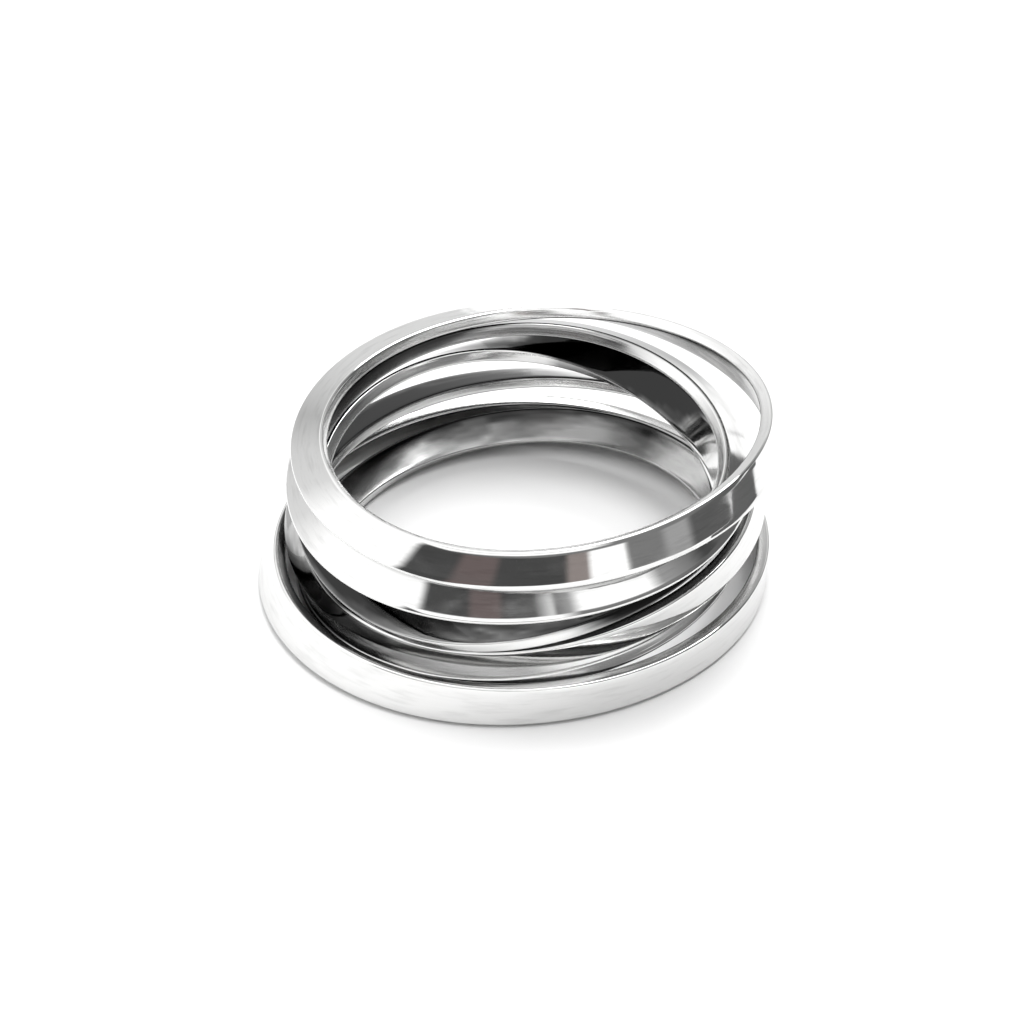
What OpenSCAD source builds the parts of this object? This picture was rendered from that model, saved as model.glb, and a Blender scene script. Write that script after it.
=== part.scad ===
// Twist ring: six closed bands of flat silver strip, nested and fanned out in a loose stack.
// The ring lies on its side: +Z is up, +X to the right and +Y to the back, in millimetres.
// The origin is on the surface that it lies on, under the middle of the finger hole.
// Each band is one strip of rectangular section with broken edges. It leans as it goes round,
// so that its broad face looks outward at one place and up or down at another. It was bent by
// hand, so its circle is a little oval and it waves a little up and down.

/* [Strip] */
// Breadth of the broken edge along each corner of a strip
edge_break = 0.1; // [0.02:0.01:0.12]
// Clear room for a finger through all six bands, as a diameter
finger_hole = 17.2; // [17:0.05:17.6]

/* [Smoothness] */
// Sections round each band
sections = 72; // [48:12:96]

/* [Hidden] */

// Columns of the band table
// Middle of the circle of a band's upper hole edge: to the right, to the back, and up
RIGHT = 0;
BACK = 1;
UP = 2;
// Rise of that circle to the right and to the back, in degrees
RISE_RIGHT = 3;
RISE_BACK = 4;
// How far that circle stands out from the finger hole
OUTSET = 5;
// Width and thickness of the strip
WIDTH = 6;
THICK = 7;
// Mean lean of the broad face, in degrees: over 0 the lower edge stands further out
LEAN = 8;
// How far the lean swings as the strip goes round, and where it is greatest, in degrees
TWIST = 9;
TWIST_AT = 10;
// A quicker swing of the lean, with two crests on the way round, and where it is greatest
SWAY = 11;
SWAY_AT = 12;
// How much the circle is drawn out into an oval, and where it reaches furthest out
OVAL = 13;
OVAL_AT = 14;
// How much the band waves up and down, and where it stands highest
WAVE = 15;
WAVE_AT = 16;

//            right   back    up rise:r    b  outs  wide thick lean twist at sway at  oval   at  wave   at
TOP_ROW    = [ 1.11, -0.38, 8.28,  5.3, -1.9, 0.93, 1.73, 0.59,  41, 28, 144,  9, -58, 0.18, -15, 0.17, -20];
SECOND_ROW = [-0.01, -0.50, 6.58,  3.5,  2.2, 0.42, 1.76, 0.60,  51,  9, 103,  3, -65, 0.15, -70, 0.19, -86];
THIRD_ROW  = [ 0.31, -0.20, 4.56, -3.2,  5.2, 0.36, 1.74, 0.60,  93, 52,  -5,  5,  21, 0.08, -84, 0.35, -53];
FOURTH_ROW = [ 0.47, -0.40, 3.80,  5.0, -0.1, 1.15, 1.66, 0.54,  26, 49, 102, 10, -39, 0.13,  36, 0.23, -32];
FIFTH_ROW  = [-0.20, -0.30, 2.00,  6.0,  0.5, 1.50, 1.65, 0.60, -56, 21,  30,  0,   0, 0.05,  75, 0.02,  65];
BOTTOM_ROW = [ 0.15, -0.20, 1.92,  0.5,  0.0, 2.10, 1.90, 0.60,  11, 14, 160,  0,   0, 0.20,  35, 0.08, -70];

full_turn = 360;

// An oval, a wave or the quicker swing has two crests on the way round
crests = 2;

// A swing from 1 to -1 and back that lingers at its ends: the curve c(3 - cc)/2 is level at both
function lingering(c) = c * (3 - c * c) / 2;

// Lean of a strip at an angle round its band
function lean_at(band, angle) =
    band[LEAN]
    + band[TWIST] * lingering(cos(angle - band[TWIST_AT]))
    + band[SWAY] * cos(crests * (angle - band[SWAY_AT]));

// Radius and height of the upper hole edge at an angle round the band
function radius_at(band, angle) =
    finger_hole / 2 + band[OUTSET] + band[OVAL] * cos(crests * (angle - band[OVAL_AT]));
function height_at(band, angle) = band[WAVE] * cos(crests * (angle - band[WAVE_AT]));

// Outline of a strip, as steps out through its thickness and down its width
function strip_outline(thick, width, brk) = [
    [brk, 0], [thick - brk, 0],
    [thick, brk], [thick, width - brk],
    [thick - brk, width], [brk, width],
    [0, width - brk], [0, brk]
];

// A step out and down from the hole edge, turned by the lean: radius and height
function leaned(step, lean) = [
    step[0] * cos(lean) + step[1] * sin(lean),
    step[0] * sin(lean) - step[1] * cos(lean)
];

// A point of the outline on the band, at an angle round it
function on_band(band, angle, step) =
    let (
        out_up = leaned(step, lean_at(band, angle)),
        radius = radius_at(band, angle) + out_up[0],
        height = height_at(band, angle) + out_up[1]
    )
    [radius * cos(angle), radius * sin(angle), height];

// One closed band: its outline carried round in even steps, and a skin of triangles between
module band_solid(band) {
    outline = strip_outline(band[THICK], band[WIDTH], edge_break);
    corners = len(outline);
    points = [
        for (i = [0 : sections - 1])
            for (step = outline)
                on_band(band, full_turn * i / sections, step)
    ];
    faces = [
        for (i = [0 : sections - 1])
            for (j = [0 : corners - 1])
                let (
                    here = i * corners,
                    there = ((i + 1) % sections) * corners,
                    k = (j + 1) % corners
                )
                each [[here + j, there + j, there + k], [here + j, there + k, here + k]]
    ];
    translate([band[RIGHT], band[BACK], band[UP]])
        rotate([band[RISE_BACK], -band[RISE_RIGHT], 0])
            polyhedron(points, faces, convexity = 4);
}

module top_band() {
    color("silver")
        band_solid(TOP_ROW);
}

module second_band() {
    color("silver")
        band_solid(SECOND_ROW);
}

module third_band() {
    color("silver")
        band_solid(THIRD_ROW);
}

module fourth_band() {
    color("silver")
        band_solid(FOURTH_ROW);
}

module fifth_band() {
    color("silver")
        band_solid(FIFTH_ROW);
}

module bottom_band() {
    color("silver")
        band_solid(BOTTOM_ROW);
}

top_band();
second_band();
third_band();
fourth_band();
fifth_band();
bottom_band();
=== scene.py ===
# %% [markdown]
# A twist ring lies on its side on a white table. It is six closed bands of flat silver strip, nested and
# fanned out, and each strip leans over and back again as it goes round. The solids come from the packed
# model, which is the fixed frame: this lesson gives every band its rounded edges, its polish and its light.
# Each step is a cell with a few words before it. Lengths are in millimetres until they reach Blender.

import math

import bpy
import numpy as np
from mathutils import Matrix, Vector
from mathutils.bvhtree import BVHTree


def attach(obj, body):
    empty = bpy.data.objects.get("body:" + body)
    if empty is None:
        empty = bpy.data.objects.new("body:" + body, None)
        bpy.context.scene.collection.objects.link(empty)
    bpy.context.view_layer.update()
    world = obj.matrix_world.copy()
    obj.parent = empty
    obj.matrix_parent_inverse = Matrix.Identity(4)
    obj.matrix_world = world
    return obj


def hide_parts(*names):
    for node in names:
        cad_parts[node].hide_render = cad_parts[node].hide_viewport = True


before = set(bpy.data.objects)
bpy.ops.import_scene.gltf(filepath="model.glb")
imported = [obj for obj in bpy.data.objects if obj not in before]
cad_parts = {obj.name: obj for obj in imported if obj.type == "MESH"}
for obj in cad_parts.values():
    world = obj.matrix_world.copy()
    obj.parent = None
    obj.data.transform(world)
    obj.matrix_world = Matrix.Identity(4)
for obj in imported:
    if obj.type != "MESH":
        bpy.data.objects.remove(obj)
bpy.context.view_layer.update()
MM = 0.001
print("bands in the frame:", sorted(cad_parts))

# %% [markdown]
# Everything made here has to be linked into the scene, and the lamp and the camera have to be turned to
# look along a direction. Two small functions do that.

# %% Put things in the scene


def in_scene(name, data):
    """A new object for a mesh, lamp or camera, linked into the scene."""
    made = bpy.data.objects.new(name, data)
    bpy.context.scene.collection.objects.link(made)
    return made


def look_along(thing, direction):
    """Turns a lamp or a camera to look along a direction."""
    thing.rotation_mode = "QUATERNION"
    thing.rotation_quaternion = direction.to_track_quat("-Z", "Y")


# %% [markdown]
# The camera stands where the photographer stood: in front, looking down on the ring from a long way off
# for its size, as a macro lens does. Three things fix it. The angle says how round the hole looks, the
# distance says how much nearer the front looks than the back, and the scale says how large the ring is in
# the picture. A lens's focal length follows from distance and scale, so it is worked out and not chosen.

# %% Set the camera
PICTURE = 1024
SENSOR = 36.0
LOOK_DOWN = math.radians(36.3)
DISTANCE = 173.5
PIXELS_PER_MM = 21.94
AIM_POINT = Vector((-0.3, -0.25, 3.4)) * MM
NEAREST, FARTHEST = 0.01, 20.0

camera_data = bpy.data.cameras.new("camera")
camera_data.sensor_width = SENSOR
camera_data.lens = PIXELS_PER_MM * DISTANCE / PICTURE * SENSOR
camera_data.clip_start = NEAREST
camera_data.clip_end = FARTHEST
camera = in_scene("camera", camera_data)
away = Vector((0.0, -math.cos(LOOK_DOWN), math.sin(LOOK_DOWN)))
camera.location = AIM_POINT + away * DISTANCE * MM
look_along(camera, -away)
bpy.context.scene.camera = camera
print("camera: lens", round(camera_data.lens, 1), "mm,", DISTANCE, "mm away")

# %% [markdown]
# Shader graphs read best as arithmetic. This class wraps one output socket, so that `1 - mask * 0.5` adds
# the Math nodes that it needs. Its one method for any other node takes the node's kind, its settings, and
# the values or links of its inputs.


# %% A socket that does arithmetic
class Wire:
    """An output socket of a shader graph. Arithmetic on it adds Math nodes."""

    def __init__(self, tree, socket=None):
        self.tree = tree
        self.socket = socket

    def node(self, kind, settings=None, inputs=None, out=0):
        """Any node: its settings first, then its inputs by name or number. Gives the output asked for."""
        made = self.tree.nodes.new(kind)
        for name, value in (settings or {}).items():
            if name == "stops":
                set_stops(made.color_ramp, value)
            else:
                setattr(made, name, value)
        for name, value in (inputs or {}).items():
            if isinstance(value, Wire):
                self.tree.links.new(value.socket, made.inputs[name])
            else:
                made.inputs[name].default_value = value
        return Wire(self.tree, made.outputs[out])

    def math(self, operation, *values):
        return self.node("ShaderNodeMath", {"operation": operation}, dict(enumerate(values)))

    def __add__(self, other):
        return self.math("ADD", self, other)

    def __radd__(self, other):
        return self.math("ADD", other, self)

    def __sub__(self, other):
        return self.math("SUBTRACT", self, other)

    def __rsub__(self, other):
        return self.math("SUBTRACT", other, self)

    def __mul__(self, other):
        return self.math("MULTIPLY", self, other)

    def __truediv__(self, other):
        return self.math("DIVIDE", self, other)


def set_stops(ramp, stops):
    """Puts (place, colour) stops on a ramp that starts with two."""
    while len(ramp.elements) < len(stops):
        ramp.elements.new(1.0)
    for element, (place, colour) in zip(ramp.elements, stops):
        element.position = place
        element.color = colour


def grey(share):
    """A plain grey, as the share of full white."""
    return (share, share, share, 1.0)


print("shader arithmetic is ready")

# %% [markdown]
# The table is a plain white sheet, far wider than the picture, so that the background runs out to white
# and the ring's lower faces have something bright to reflect. It is stage, and not part of the ring.


# %% Lay the white table
def paper_sheet(name, corners, paper_name, share, settings):
    """A flat sheet of grey paper between four corners in millimetres."""
    mesh = bpy.data.meshes.new(name)
    mesh.from_pydata([[x * MM for x in corner] for corner in corners], [], [(0, 1, 2, 3)])
    paper = bpy.data.materials.new(paper_name)
    paper.use_nodes = True
    shader = paper.node_tree.nodes["Principled BSDF"]
    shader.inputs["Base Color"].default_value = grey(share)
    for input_name, value in settings.items():
        shader.inputs[input_name].default_value = value
    mesh.materials.append(paper)
    return in_scene(name, mesh)


TABLE_HALF = 900.0
TABLE_GREY = 0.73
MATT = {"Roughness": 0.9, "Specular IOR Level": 0.1}
table = paper_sheet("table", [(-TABLE_HALF, -TABLE_HALF, 0), (TABLE_HALF, -TABLE_HALF, 0),
                              (TABLE_HALF, TABLE_HALF, 0), (-TABLE_HALF, TABLE_HALF, 0)],
                    "white_paper", TABLE_GREY, MATT)
print("table:", 2 * TABLE_HALF, "mm wide")

# %% [markdown]
# Polished silver has almost no look of its own. It shows the room, so the room is what has to be built.
# The photographer's room is taken to be half a white tent: pale walls behind, white ones at the left, a
# ceiling that is grey at the right, and an open front, where the front faces of the bands show dark and
# brownish upright bars with white between them. A world shader can hold all of this in one place. Its
# direction gives an angle round the horizon and a height. It is painted as five storeys, from the ceiling
# down, and a sill. Each storey under the ceiling has a ramp of colours round the horizon, and another ramp
# that says how high it reaches there.

# %% The storeys of the tent
WHITE = grey(1.0)
PALE = grey(0.60)
LIGHT_GREY = grey(0.30)
GREY = grey(0.17)
DARK = grey(0.055)
BROWN = (0.125, 0.10, 0.098, 1.0)
LIGHT_BROWN = (0.24, 0.21, 0.20, 1.0)

# Colours of each storey, as (degrees round from the front, colour)
CEILING = [(-180, grey(0.6)), (-120, WHITE), (50, WHITE), (80, LIGHT_GREY), (110, GREY), (150, LIGHT_GREY)]
HIGH_BARS = [(-180, grey(0.75)), (-106, WHITE), (-61, WHITE), (-57, DARK), (-38, DARK), (-35, BROWN),
             (-22, BROWN), (-19, DARK), (-2, grey(0.09)), (8, PALE), (11, GREY), (19, LIGHT_GREY),
             (26, WHITE), (66, WHITE), (74, LIGHT_GREY), (90, GREY), (98, DARK), (112, DARK),
             (150, grey(0.6))]
UPPER = [(-180, grey(0.75)), (-106, WHITE), (12, WHITE), (24, GREY), (75, GREY), (95, grey(0.10)),
         (115, grey(0.12)), (150, grey(0.6))]
MIDDLE = [(-180, grey(0.62)), (-130, grey(0.62)), (-106, WHITE), (-68, WHITE), (-60, grey(0.08)),
          (-40, grey(0.11)), (-20, GREY), (60, GREY), (90, grey(0.10)), (120, grey(0.10)), (150, grey(0.45))]
LOW_BARS = [(-180, grey(0.62)), (-165, grey(0.58)), (-152, grey(0.40)), (-140, grey(0.56)),
            (-124, grey(0.62)), (-106, WHITE), (-65, WHITE), (-61, DARK), (-43, DARK), (-40, BROWN),
            (-27, BROWN), (-24, DARK), (2, DARK), (4, LIGHT_BROWN), (11.5, LIGHT_BROWN), (13.5, WHITE),
            (28, WHITE), (30, GREY), (46, GREY), (50, LIGHT_GREY), (60, LIGHT_GREY), (64, grey(0.09)),
            (142, grey(0.11)), (150, grey(0.35)), (158, grey(0.75))]

# Tops of the storeys under the ceiling, as (degrees round from the front, degrees up)
HIGH_TOPS = [(-180, 40), (-66, 35), (-56, 35.5), (-41, 40.5), (-20, 46), (1, 50.5), (25, 51.5), (48, 49),
             (74, 43), (97, 35), (120, 34)]
UPPER_TOPS = [(-180, 34), (-66, 26), (-56, 29.5), (-41, 34), (-20, 39.5), (1, 43.5), (25, 44.5), (48, 41),
              (74, 35), (97, 26), (110, 20)]
MIDDLE_TOPS = [(-180, 26), (-66, 26), (-50, 21), (-30, 20.5), (0, 20.5), (40, 20), (60, 20), (100, 26),
               (130, 22)]
LOW_TOPS = [(-180, 18), (-110, 27), (-66, 28), (-60, 21), (-42, 17), (-24, 15), (0, 14.6), (30, 15),
            (50, 14), (70, 12), (92, 12), (100, 18), (130, 14)]
# A white sill stands on the horizon under the low bars
SILL_TOPS = [(-180, 0), (-80, 0), (-62, 6), (-30, 8), (0, 8.5), (30, 8.5), (45, 7), (60, 3), (95, 0),
             (110, 4), (145, 4), (160, 0)]

# Each storey's colours, its tops, and how softly it ends at its top
STOREYS = [(HIGH_BARS, HIGH_TOPS, 0.03), (UPPER, UPPER_TOPS, 0.02), (MIDDLE, MIDDLE_TOPS, 0.02),
           (LOW_BARS, LOW_TOPS, 0.03)]
SILL_SOFTNESS = 0.012
print("storeys under the ceiling:", len(STOREYS))

# %% [markdown]
# Now the storeys go into the world shader. A mask is 1 below a storey's top and fades to 0 over it, and
# each storey is laid over what is already there.

# %% Build the tent
TENT_STRENGTH = 1.5

world = bpy.data.worlds.new("tent")
bpy.context.scene.world = world
world.use_nodes = True
tent = Wire(world.node_tree)
sky_shader = world.node_tree.nodes["Background"]
direction = tent.node("ShaderNodeTexCoord", out="Generated")
dir_x, dir_y, dir_z = (tent.node("ShaderNodeSeparateXYZ", {}, {0: direction}, axis) for axis in range(3))
turn = tent.math("ARCTAN2", dir_x, 0 - dir_y) / (2 * math.pi) + 0.5


def round_the_ring(stops):
    """A ramp over the angle round the horizon. Its stops are (degrees from the front, colour)."""
    ramp_stops = [((degrees + 180.0) / 360.0, colour) for degrees, colour in stops]
    return tent.node("ShaderNodeValToRGB", {"stops": ramp_stops}, {"Fac": turn}, "Color")


def reach(heights):
    """How high something reaches all the way round, from (degrees from the front, degrees up)."""
    return round_the_ring([(degrees, grey(math.sin(math.radians(up)))) for degrees, up in heights])


def under(line, softness):
    """A mask that is 1 below a line and fades to 0 above it."""
    return tent.node("ShaderNodeMapRange", {"interpolation_type": "SMOOTHSTEP"},
                     {"Value": line - dir_z, "From Min": -softness, "From Max": softness}, "Result")


def blend(mask, base, top):
    """The base colour where the mask is 0, and the top colour where it is 1."""
    return tent.node("ShaderNodeMix", {"data_type": "RGBA"}, {"Factor": mask, 6: base, 7: top}, 2)


sky = round_the_ring(CEILING)
for colours, tops, softness in STOREYS:
    sky = blend(under(reach(tops), softness), sky, round_the_ring(colours))
sky = blend(under(reach(SILL_TOPS), SILL_SOFTNESS), sky, WHITE)
world.node_tree.links.new(sky.socket, sky_shader.inputs["Color"])
sky_shader.inputs["Strength"].default_value = TENT_STRENGTH
print("tent:", sum(len(colours) for colours, tops, softness in STOREYS), "stops round the horizon")

# %% [markdown]
# The right ends of the front faces look just under the horizon, where the white paper would make them
# white. In the photo they are dark. A low black card stands on the table out of the picture, as a
# photographer would set one, and those faces show it. It is kept out of sight when the ring is seen from
# the left, where it would stand behind it.

# %% Stand a black card at the right
CARD_RIGHT = 64.0
CARD_FRONT, CARD_BACK = -26.0, 18.0
CARD_TOP = 9.0
CARD_GREY = 0.09
card = paper_sheet("black_card", [(CARD_RIGHT, CARD_FRONT, 0), (CARD_RIGHT, CARD_BACK, 0),
                                  (CARD_RIGHT, CARD_BACK, CARD_TOP), (CARD_RIGHT, CARD_FRONT, CARD_TOP)],
                   "black_paper", CARD_GREY, {})
card.visible_camera = False
print("black card:", CARD_TOP, "mm high")

# %% [markdown]
# One wide soft light hangs over the ring, a little behind it and to the right. It whitens the table, lays
# a soft shadow towards the viewer and the left, and is the white that faces looking straight up show.

# %% Hang the overhead light
LAMP_SIZE = 400.0
LAMP_WATTS = 3.4
LAMP_PLACE = Vector((110.0, 150.0, 500.0)) * MM

lamp_data = bpy.data.lights.new("overhead", "AREA")
lamp_data.shape = "RECTANGLE"
lamp_data.size = lamp_data.size_y = LAMP_SIZE * MM
lamp_data.energy = LAMP_WATTS
lamp = in_scene("overhead", lamp_data)
lamp.location = LAMP_PLACE
look_along(lamp, -LAMP_PLACE)
print("overhead light:", LAMP_WATTS, "W")

# %% [markdown]
# The silver was polished with a wheel that ran round each strip. That leaves hair lines along the strip,
# faint broad waves that make a straight reflection wobble, smudges, and faint grey flecks. A picture of
# scratches would be one way. Noise is another, and it needs no picture: stretched along the strip it is hair
# lines, and left even it is waves. Each band carries its own place along and across the strip as a vector on
# its points, so the noise can be stretched the right way everywhere. Two more values on the points say where
# the side towards the hole is, which is satin, and how far the silver is left unshaded. Below 1 its colour
# is painted darker: painted shade in the recesses and painted dark reflections.

# %% Polish the silver
SILVER = (0.76, 0.76, 0.755, 1.0)
# The colour of the painted shade and painted dark reflections, where the silver is not left unshaded
PAINTED_SHADE = grey(0.03)
# How quickly each noise changes along and across the strip, per millimetre, and how much detail it has
HAIR = (0.35, 14.0, 3.0)
WAVES = (0.35, 0.5, 1.0)
SMUDGES = (0.5, 0.9, 3.0)
FLECKS = (0.7, 5.0, 4.0)
# The values of a noise between which a smudge or a fleck comes up
SMUDGE_RANGE = (0.52, 0.72)
FLECK_RANGE = (0.5, 0.75)
POLISH, SMUDGE_ROUGHNESS, HAIR_ROUGHNESS, SATIN_ROUGHNESS = 0.035, 0.05, 0.03, 0.16
HAIR_HEIGHT, WAVE_HEIGHT = 0.0006, 0.012
BUMP_STRENGTH, BUMP_DISTANCE = 0.6, 0.001
FLECK_DARKNESS, HAIR_DARKNESS = 0.13, 0.06


def silver():
    """Polished silver, with hair lines along the strip, faint waves, smudges, flecks and painted shade in
    its colour.
    """
    material = bpy.data.materials.new("polished_silver")
    material.use_nodes = True
    tree = material.node_tree
    shader = tree.nodes["Principled BSDF"]
    start = Wire(tree)

    def on_points(name, output):
        return start.node("ShaderNodeAttribute", {"attribute_name": name}, out=output)

    place = on_points("strip_place", "Vector")

    def noise(kind):
        along, across, detail = kind
        stretched = start.node("ShaderNodeVectorMath", {"operation": "MULTIPLY"},
                               {0: place, 1: (along, along, across)})
        return start.node("ShaderNodeTexNoise", {},
                          {"Vector": stretched, "Scale": 1.0, "Detail": detail}, "Fac")

    def rise(value, limits):
        return start.node("ShaderNodeMapRange", {},
                          {"Value": value, "From Min": limits[0], "From Max": limits[1]}, "Result")

    hair = noise(HAIR)
    smudge = rise(noise(SMUDGES), SMUDGE_RANGE)
    fleck = rise(noise(FLECKS), FLECK_RANGE)
    satin = on_points("hole_side", "Fac")
    roughness = POLISH + smudge * SMUDGE_ROUGHNESS + hair * HAIR_ROUGHNESS + satin * SATIN_ROUGHNESS
    height = hair * HAIR_HEIGHT + noise(WAVES) * WAVE_HEIGHT
    bump = start.node("ShaderNodeBump", {}, {"Height": height, "Strength": BUMP_STRENGTH,
                                             "Distance": BUMP_DISTANCE}, "Normal")
    # The base colour is painted darker by painted shade and painted dark reflections where the points are
    # not left unshaded; flecks and hair lines darken it a little as marks of the silver
    bright = on_points("clean", "Fac") * (1.0 - fleck * FLECK_DARKNESS - hair * HAIR_DARKNESS)
    colour = start.node("ShaderNodeMix", {"data_type": "RGBA"}, {"Factor": bright, 6: PAINTED_SHADE, 7: SILVER}, 2)
    tree.links.new(colour.socket, shader.inputs["Base Color"])
    tree.links.new(roughness.socket, shader.inputs["Roughness"])
    tree.links.new(bump.socket, shader.inputs["Normal"])
    shader.inputs["Metallic"].default_value = 1.0
    return material


polished = silver()
print("material:", polished.name)

# %% [markdown]
# A band could be modelled by bending a cube along a circle, but the lean that changes on the way round is
# easier said as a rule. The table gives one row to each band: where the circle of its upper hole edge
# lies, how it rises, the size of the strip, and how its lean swings. It repeats the sizes of the solids.

# %% The band table
FINGER_HOLE = 17.2
(RIGHT, BACK, UP, RISE_RIGHT, RISE_BACK, OUTSET, WIDTH, THICK,
 LEAN, TWIST, TWIST_AT, SWAY, SWAY_AT, OVAL, OVAL_AT, WAVE, WAVE_AT) = range(17)
BANDS = {
    # right, back, up; rise right, back; outset, width, thick; lean, twist, at; sway, at; oval, at; wave, at
    "top_band": [1.11, -0.38, 8.28, 5.3, -1.9, 0.93, 1.73, 0.59,
                 41, 28, 144, 9, -58, 0.18, -15, 0.17, -20],
    "second_band": [-0.01, -0.50, 6.58, 3.5, 2.2, 0.42, 1.76, 0.60,
                    51, 9, 103, 3, -65, 0.15, -70, 0.19, -86],
    "third_band": [0.31, -0.20, 4.56, -3.2, 5.2, 0.36, 1.74, 0.60,
                   93, 52, -5, 5, 21, 0.08, -84, 0.35, -53],
    "fourth_band": [0.47, -0.40, 3.80, 5.0, -0.1, 1.15, 1.66, 0.54,
                    26, 49, 102, 10, -39, 0.13, 36, 0.23, -32],
    "fifth_band": [-0.20, -0.30, 2.00, 6.0, 0.5, 1.50, 1.65, 0.60,
                   -56, 21, 30, 0, 0, 0.05, 75, 0.02, 65],
    "bottom_band": [0.15, -0.20, 1.92, 0.5, 0.0, 2.10, 1.90, 0.60,
                    11, 14, 160, 0, 0, 0.20, 35, 0.08, -70],
}
print("bands in the table:", len(BANDS))

# %% [markdown]
# The strip's outline is a rectangle with its four corners rounded, and the rounding matters more than its
# size suggests: it is what draws the thin bright line along every edge. Steps go out through the
# thickness and down the width, as on the solids.

# %% The outline of the strip
EDGE_ROUND = 0.12
CORNER_STEPS = 5
BROAD_STEPS = 8
NARROW_STEPS = 3


def strip_outline(thick, width, radius):
    """Points (out, down) round a rectangle with round corners. They start at its upper outer corner."""
    middles = [(thick - radius, radius, -90), (thick - radius, width - radius, 0),
               (radius, width - radius, 90), (radius, radius, 180)]
    corners = []
    for out, down, first in middles:
        turns = np.radians(first + np.linspace(0.0, 90.0, CORNER_STEPS))
        corners.append(np.stack([out + radius * np.cos(turns), down + radius * np.sin(turns)], -1))
    points = []
    for corner, after, steps in zip(corners, corners[1:] + corners[:1], [BROAD_STEPS, NARROW_STEPS] * 2):
        points.append(corner)
        points.append(np.linspace(corner[-1], after[0], steps + 1)[1:-1])
    return np.concatenate(points)


for node, row in BANDS.items():
    print(node, len(strip_outline(row[THICK], row[WIDTH], EDGE_ROUND)), "outline points")

# %% [markdown]
# Each section is the outline, leaned over and set at its place round the circle. Numpy works on all the
# sections at once. The circle is then tipped and put in place, exactly as the solid was.

# %% Carry the outline round a band
SECTIONS = 540
# Sets the noise of each band apart from the others, by its height
NOISE_STEP = 5.0
# The share of the thickness, from the hole side out, that is all satin, and where satin ends
SATIN_FULL, SATIN_ENDS = 0.5, 0.75


def tip(points, rise_right, rise_back):
    """Turns points about X by the rise to the back, and then about Y by the rise to the right."""
    b = math.radians(rise_back)
    a = -math.radians(rise_right)
    about_x = np.array([[1, 0, 0], [0, math.cos(b), -math.sin(b)], [0, math.sin(b), math.cos(b)]])
    about_y = np.array([[math.cos(a), 0, math.sin(a)], [0, 1, 0], [-math.sin(a), 0, math.cos(a)]])
    return points @ (about_y @ about_x).T


def swing(size, crest_at, turn_round, crests=1):
    """A value that rises and falls on the way round, with its crest at an angle in degrees."""
    return size * np.cos(crests * (turn_round - math.radians(crest_at)))


def lingering(part):
    """Makes a swing between 1 and -1 linger at its ends."""
    return part * (3.0 - part * part) / 2.0


def band_points(row):
    """Points of a band in millimetres, their places on the strip, and how far each is on the hole side."""
    outline = strip_outline(row[THICK], row[WIDTH], EDGE_ROUND)
    turn_round = np.linspace(0.0, 2.0 * math.pi, SECTIONS, endpoint=False)
    lean = np.radians(row[LEAN] + row[TWIST] * lingering(swing(1.0, row[TWIST_AT], turn_round))
                      + swing(row[SWAY], row[SWAY_AT], turn_round, 2))
    edge_radius = FINGER_HOLE / 2 + row[OUTSET] + swing(row[OVAL], row[OVAL_AT], turn_round, 2)
    edge_height = swing(row[WAVE], row[WAVE_AT], turn_round, 2)
    out, down = outline[:, 0], outline[:, 1]
    radius = edge_radius[:, None] + np.outer(np.cos(lean), out) + np.outer(np.sin(lean), down)
    height = edge_height[:, None] + np.outer(np.sin(lean), out) - np.outer(np.cos(lean), down)
    flat = np.stack([radius * np.cos(turn_round)[:, None], radius * np.sin(turn_round)[:, None], height], -1)
    placed = tip(flat.reshape(-1, 3), row[RISE_RIGHT], row[RISE_BACK]) + [row[RIGHT], row[BACK], row[UP]]
    across = np.cumsum(np.linalg.norm(np.diff(outline, axis=0, prepend=outline[:1]), axis=1))
    place = np.stack([np.repeat(edge_radius * np.cos(turn_round), len(outline)),
                      np.repeat(edge_radius * np.sin(turn_round), len(outline)),
                      np.tile(across, SECTIONS) + NOISE_STEP * row[UP]], -1)
    satin = (SATIN_ENDS * row[THICK] - out) / ((SATIN_ENDS - SATIN_FULL) * row[THICK])
    return placed, place, np.tile(np.clip(satin, 0.0, 1.0), SECTIONS)


def put_on_points(mesh, name, kind, field, values):
    """Stores a value or a vector on every point of a mesh."""
    layer = mesh.attributes.new(name, kind, "POINT")
    layer.data.foreach_set(field, values.astype(np.float32).ravel())


def band_piece(name, row):
    """A closed mesh of quads for one band."""
    points, place, hole_side = band_points(row)
    around = len(points) // SECTIONS
    here = np.arange(SECTIONS)[:, None] * around
    there = (np.arange(SECTIONS)[:, None] + 1) % SECTIONS * around
    j = np.arange(around)[None, :]
    k = (j + 1) % around
    quads = np.stack([here + j, here + k, there + k, there + j], -1).reshape(-1, 4)
    mesh = bpy.data.meshes.new(name)
    mesh.from_pydata((points * MM).tolist(), [], quads.tolist())
    mesh.polygons.foreach_set("use_smooth", np.ones(len(quads), bool))
    put_on_points(mesh, "strip_place", "FLOAT_VECTOR", "vector", place)
    put_on_points(mesh, "hole_side", "FLOAT", "value", hole_side)
    mesh.update()
    return in_scene(name, mesh)


print("sections round a band:", SECTIONS)

# %% [markdown]
# Six rows make six pieces. Each one stands for its solid, rides on the ring's one body, and takes the
# polished silver.

# %% Make the six bands
pieces = []
for node, row in BANDS.items():
    piece = band_piece(node + "_strip", row)
    piece.data.materials.append(polished)
    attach(piece, "root")
    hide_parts(node)
    pieces.append(piece)
    print(piece.name, len(piece.data.polygons), "faces")

# %% [markdown]
# In the photo the narrow gaps between strips look black. Little light gets in there, and that shade is
# painted into the silver's colour. Blender has a shader node that darkens corners, but it works only while
# rendering. Here each point sends out short rays instead, and keeps the share that meets no other silver.
# Neighbouring sections hardly differ, so only every fourth one is measured.

# %% Find the recesses
RAY_COUNT = 32
RAY_REACH = 3.0
RAY_START = 0.01
GOLDEN_TURN = math.pi * (3.0 - math.sqrt(5.0))
SPARSE = 4


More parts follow.
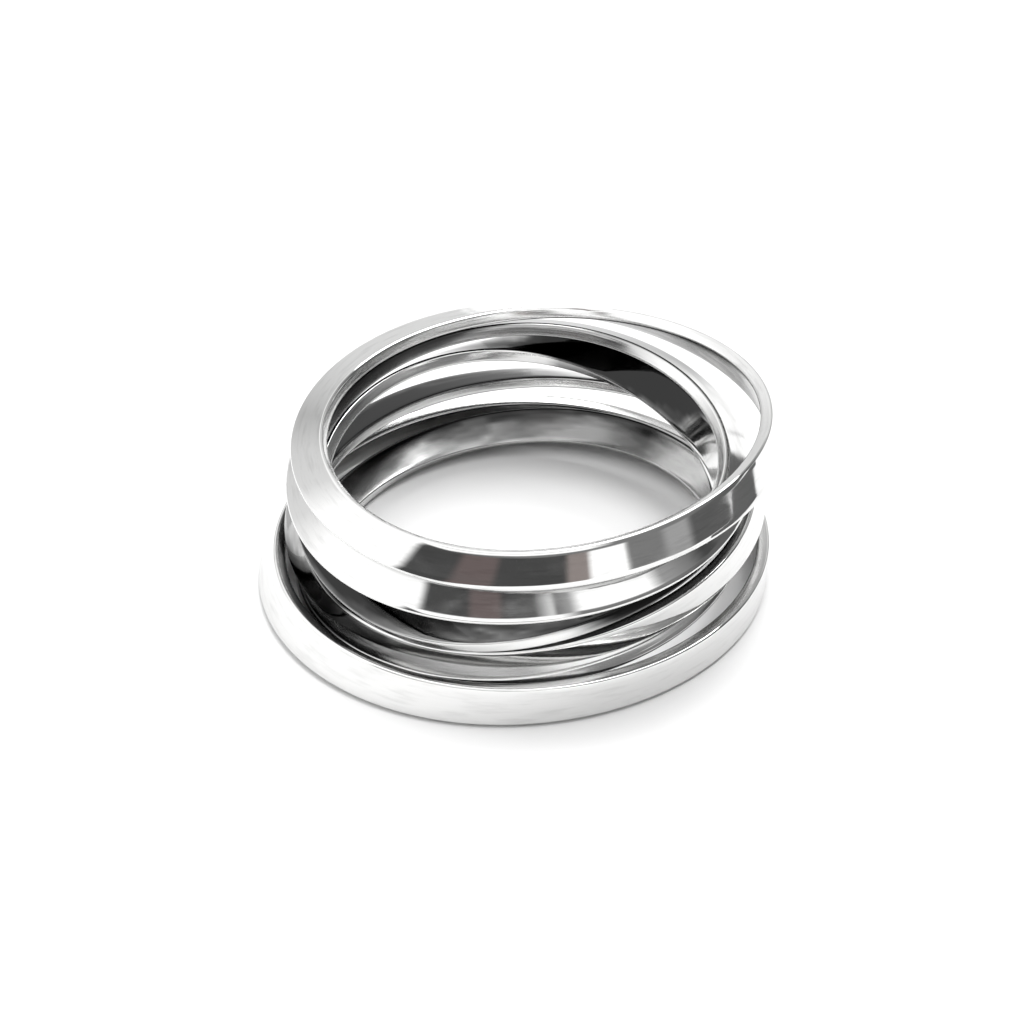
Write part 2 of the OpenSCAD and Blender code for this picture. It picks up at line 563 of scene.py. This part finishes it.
def fan_of_rays(count):
    """Directions spread over a half sphere, closer together near the middle."""
    rays = []
    for i in range(count):
        share = (i + 0.5) / count
        spread = math.sqrt(share)
        angle = i * GOLDEN_TURN
        rays.append((spread * math.cos(angle), spread * math.sin(angle), math.sqrt(1.0 - share)))
    return rays


def surface_tree(made):
    """One search tree over every face of the bands."""
    points, faces = [], []
    for piece in made:
        start = len(points)
        points += [vertex.co.copy() for vertex in piece.data.vertices]
        faces += [[start + index for index in face.vertices] for face in piece.data.polygons]
    return BVHTree.FromPolygons(points, faces)


def openness(vertex, tree, rays):
    """The share of the rays from a point that meet no silver."""
    normal = vertex.normal
    side = normal.orthogonal().normalized()
    other = normal.cross(side)
    origin = vertex.co + normal * RAY_START * MM
    free = sum(tree.ray_cast(origin, side * a + other * b + normal * c, RAY_REACH * MM)[0] is None
               for a, b, c in rays)
    return free / len(rays)


def open_shares(piece, tree, rays):
    """The open share of every point of a band, as one row to each section."""
    vertices = piece.data.vertices
    around = len(vertices) // SECTIONS
    sparse = np.array([[openness(vertices[section * around + j], tree, rays) for j in range(around)]
                       for section in range(0, SECTIONS, SPARSE)])
    looped = np.concatenate([sparse, sparse[:1]])
    places = np.arange(SECTIONS) / SPARSE
    low = places.astype(int)
    part = (places - low)[:, None]
    return looped[low] * (1.0 - part) + looped[low + 1] * part


silver_tree = surface_tree(pieces)
rays = fan_of_rays(RAY_COUNT)
shares = {node: open_shares(piece, silver_tree, rays) for piece, node in zip(pieces, BANDS)}
for node, share in shares.items():
    print(node, "open share from", round(float(share.min()), 2), "to", round(float(share.max()), 2))

# %% [markdown]
# How dark a place is painted depends on more than its open share. Some faces of a band show a dark part of
# the room in the photo, and others a bright one, and that reflection is painted into the colour too. So a
# band's limits change on its way round: below the first limit the silver is painted black, and over the
# second it is left unshaded. A limit under 0 keeps a stretch unshaded.

# %% Paint the shade of the recesses
USUAL = (0.15, 0.75)
PAINTED_SHADE_LIMITS = {
    # (degrees round the band, open share that is painted black, open share that is left unshaded)
    "top_band": [(15, 0.4, 1.05), (35, *USUAL), (330, *USUAL), (350, 0.4, 1.05)],
    "second_band": [(30, *USUAL), (60, 0.45, 1.6), (150, 0.45, 1.6), (185, *USUAL)],
    "third_band": [(12, *USUAL), (35, 0.85, 1.2), (80, 0.8, 1.2), (93, *USUAL), (170, *USUAL),
                   (185, 0.75, 1.3), (230, 0.7, 1.3), (255, 0.45, 1.05), (278, 0.45, 1.0), (292, 0.8, 1.5),
                   (335, 0.8, 1.5), (350, *USUAL)],
    "fourth_band": [(60, *USUAL), (90, 0.55, 1.0), (100, 0.65, 1.1), (185, 0.65, 1.1), (215, 0.7, 1.2),
                    (235, -0.4, 0.2), (275, -0.4, 0.2), (290, 0.1, 0.45), (335, 0.1, 0.45),
                    (350, 0.15, 0.6)],
    "fifth_band": [(30, *USUAL), (50, 0.8, 1.25), (130, 0.7, 1.2), (160, *USUAL), (190, *USUAL),
                   (205, 0.4, 1.0), (220, *USUAL), (238, -0.5, 0.15), (330, -0.5, 0.15), (345, *USUAL)],
    "bottom_band": [(0, *USUAL)],
}


def unshaded_share(open_share, limits):
    """How far the silver is left unshaded, from its open share and a band's limits; 0 is full painted shade.
    """
    degrees, black, clean = np.array(limits).T
    places = np.linspace(0.0, 360.0, SECTIONS, endpoint=False)
    low = np.interp(places, degrees, black, period=360.0)[:, None]
    high = np.interp(places, degrees, clean, period=360.0)[:, None]
    part = np.clip((open_share - low) / (high - low), 0.0, 1.0)
    return part * part * (3.0 - 2.0 * part)


# The share left unshaded goes on the points; below 1 the silver's colour carries painted shade and painted
# dark reflections
for piece, node in zip(pieces, BANDS):
    clean = unshaded_share(shares[node], PAINTED_SHADE_LIMITS[node])
    put_on_points(piece.data, "clean", "FLOAT", "value", clean)
    print(node, "is", round(100 * float(clean.mean())), "per cent clean")

# %% [markdown]
# The picture is taken with plain colours, so that white paper comes out white.

# %% Finish
bpy.context.scene.view_settings.view_transform = "Standard"
